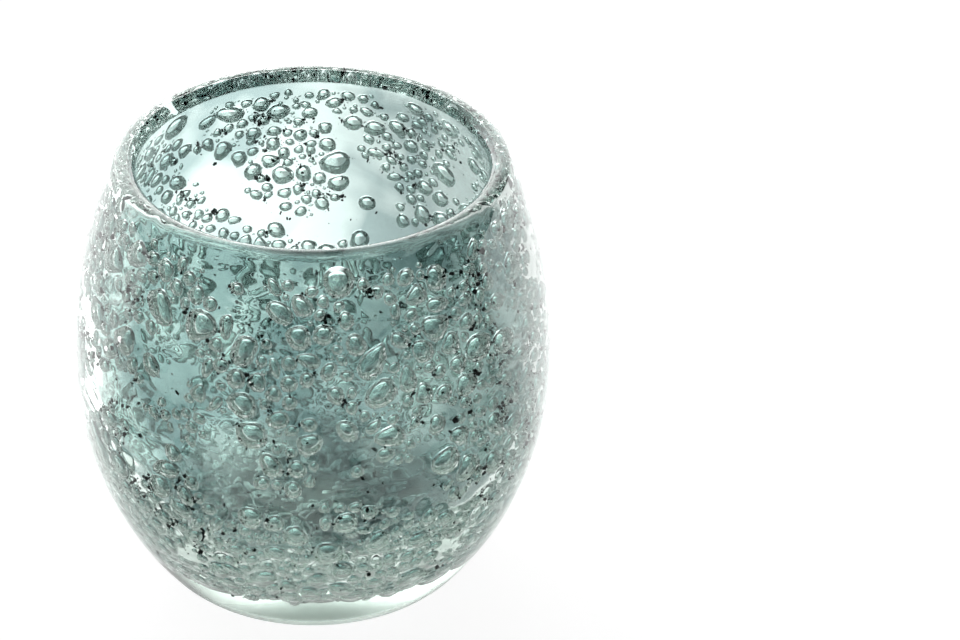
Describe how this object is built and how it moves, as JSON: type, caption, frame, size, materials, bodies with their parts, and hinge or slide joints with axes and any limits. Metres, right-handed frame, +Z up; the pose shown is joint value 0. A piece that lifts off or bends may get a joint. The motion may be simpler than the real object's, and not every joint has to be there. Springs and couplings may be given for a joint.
{
  "type": "hurricane candle holder",
  "caption": "Ball-shaped candle holder of thick blown glass full of trapped air bubbles, with a wide round mouth and a heavy flat base.",
  "frame": {"origin": "middle of the ground underside, on the surface that the glass stands on", "axes": "+Z up along the axis of the blown form, out of the mouth; X and Y lie across it"},
  "size_m": [0.11, 0.11, 0.1055],
  "materials": {
    "bubble_glass": "polished"
  },
  "bodies": {
    "root": {"glass_vessel": "bubble_glass"}
  },
  "joints": []
}
